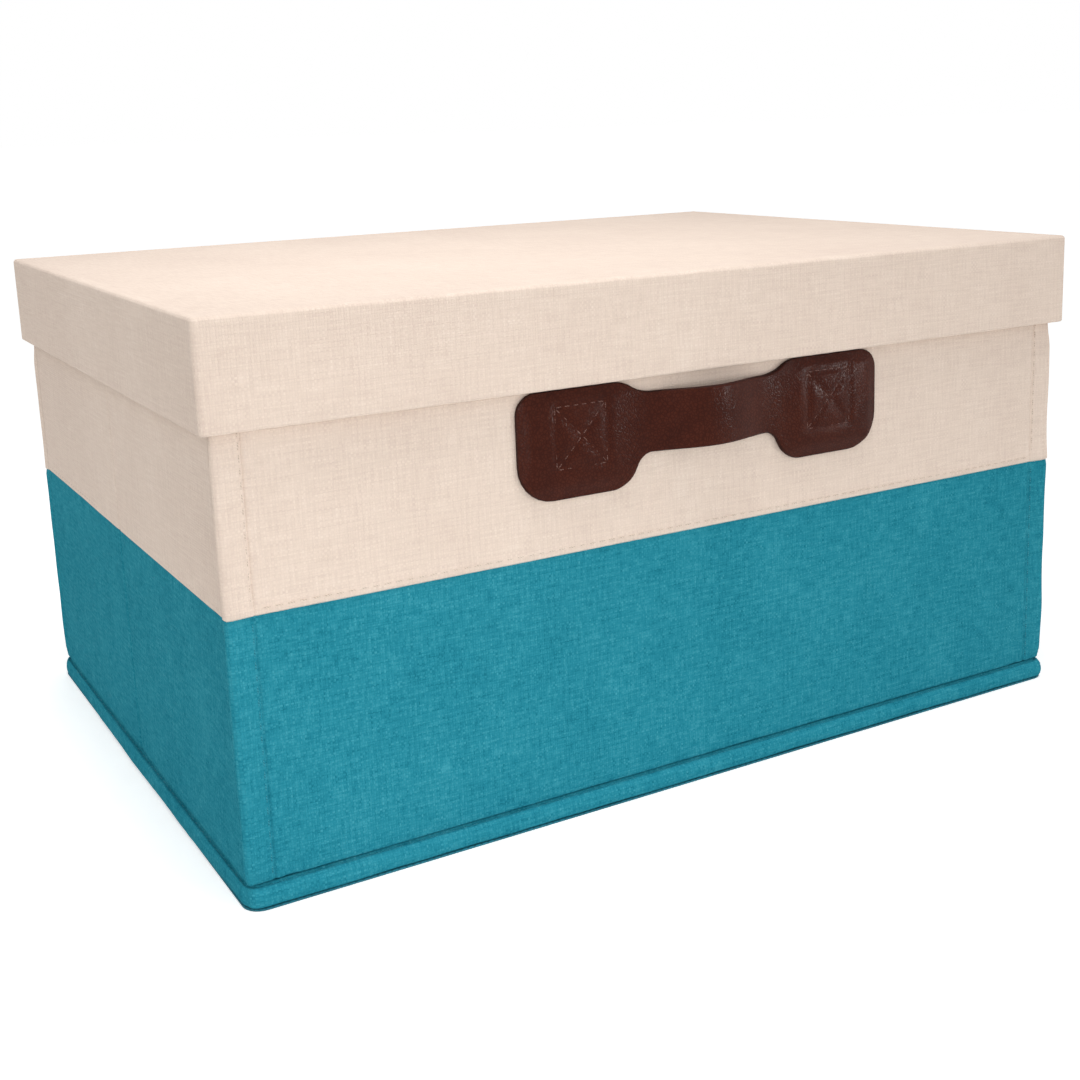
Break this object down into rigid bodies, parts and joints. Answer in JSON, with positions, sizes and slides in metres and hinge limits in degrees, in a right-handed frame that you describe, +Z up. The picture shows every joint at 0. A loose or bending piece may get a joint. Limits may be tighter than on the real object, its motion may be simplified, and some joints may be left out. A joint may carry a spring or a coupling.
{
  "type": "fabric storage box with lid",
  "caption": "Collapsible two-tone fabric storage box with board-stiffened walls, creased short sides, a deep lift-off lid and leather strap handles.",
  "frame": {"origin": "centre of the footprint, on the surface the box stands on", "axes": "+X along the long front with the handle, +Y from the front to the back, +Z up"},
  "size_m": [0.38, 0.2882, 0.2],
  "materials": {
    "upper_cloth": "cream linen-look weave, matt",
    "lower_cloth": "teal linen-look weave, matt",
    "seam_cloth": "folded seam allowance, matt",
    "lining_cloth": "cream non-woven lining, matt",
    "floor_cloth": "teal non-woven cloth, matt",
    "card": "uncoated grey-brown board",
    "handle_leather": "dark brown grained leather, satin",
    "patch": "stiff non-woven, matt"
  },
  "bodies": {
    "base_and_front": {"floor_cloth": "floor_cloth", "hem_band": "lower_cloth", "base_board": "card", "base_board_cover": "lining_cloth", "front_board": "card", "front_upper_cloth": "upper_cloth", "front_lower_cloth": "lower_cloth", "front_lining": "lining_cloth", "front_left_corner_seam": "seam_cloth", "front_right_corner_seam": "seam_cloth", "front_handle_patches": "patch", "front_handle": "handle_leather"},
    "left_front": {"left_front_board": "card", "left_front_upper_cloth": "upper_cloth", "left_front_lower_cloth": "lower_cloth", "left_front_lining": "lining_cloth"},
    "left_rear": {"left_rear_board": "card", "left_rear_upper_cloth": "upper_cloth", "left_rear_lower_cloth": "lower_cloth", "left_rear_lining": "lining_cloth"},
    "right_front": {"right_front_board": "card", "right_front_upper_cloth": "upper_cloth", "right_front_lower_cloth": "lower_cloth", "right_front_lining": "lining_cloth"},
    "right_rear": {"right_rear_board": "card", "right_rear_upper_cloth": "upper_cloth", "right_rear_lower_cloth": "lower_cloth", "right_rear_lining": "lining_cloth"},
    "back": {"back_board": "card", "back_upper_cloth": "upper_cloth", "back_lower_cloth": "lower_cloth", "back_lining": "lining_cloth", "back_left_corner_seam": "seam_cloth", "back_right_corner_seam": "seam_cloth", "back_handle_patches": "patch", "back_handle": "handle_leather"},
    "lid": {"lid_cover": "upper_cloth", "lid_lining": "lining_cloth", "lid_top_board": "card", "lid_front_board": "card", "lid_back_board": "card", "lid_left_board": "card", "lid_right_board": "card"}
  },
  "joints": [
    {"name": "left_corner_fold", "type": "hinge", "parent": "base_and_front", "child": "left_front", "pos_m": [-0.18245, -0.13245, 0], "axis": [0, 0, -1], "range_deg": [0, 88]},
    {"name": "left_crease_fold", "type": "hinge", "parent": "left_front", "child": "left_rear", "pos_m": [-0.18585, 0, 0], "axis": [0, 0, 1], "range_deg": [0, 176]},
    {"name": "back_left_corner_fold", "type": "hinge", "parent": "left_rear", "child": "back", "pos_m": [-0.18245, 0.13245, 0], "axis": [0, 0, -1], "range_deg": [0, 88]},
    {"name": "back_right_corner_fold", "type": "hinge", "parent": "back", "child": "right_rear", "pos_m": [0.18245, 0.13245, 0], "axis": [0, 0, -1], "range_deg": [0, 88]},
    {"name": "right_corner_fold", "type": "hinge", "parent": "base_and_front", "child": "right_front", "pos_m": [0.18245, -0.13245, 0], "axis": [0, 0, 1], "range_deg": [0, 88]},
    {"name": "lid_lift", "type": "slide", "parent": "base_and_front", "child": "lid", "axis": [0, 0, 1], "range_m": [0, 0.1]}
  ],
  "couplings": [
    {"joint": "left_crease_fold", "follows": "left_corner_fold", "ratio": 2},
    {"joint": "back_left_corner_fold", "follows": "left_corner_fold", "ratio": 1},
    {"joint": "back_right_corner_fold", "follows": "left_corner_fold", "ratio": 1},
    {"joint": "right_corner_fold", "follows": "left_corner_fold", "ratio": 1}
  ]
}
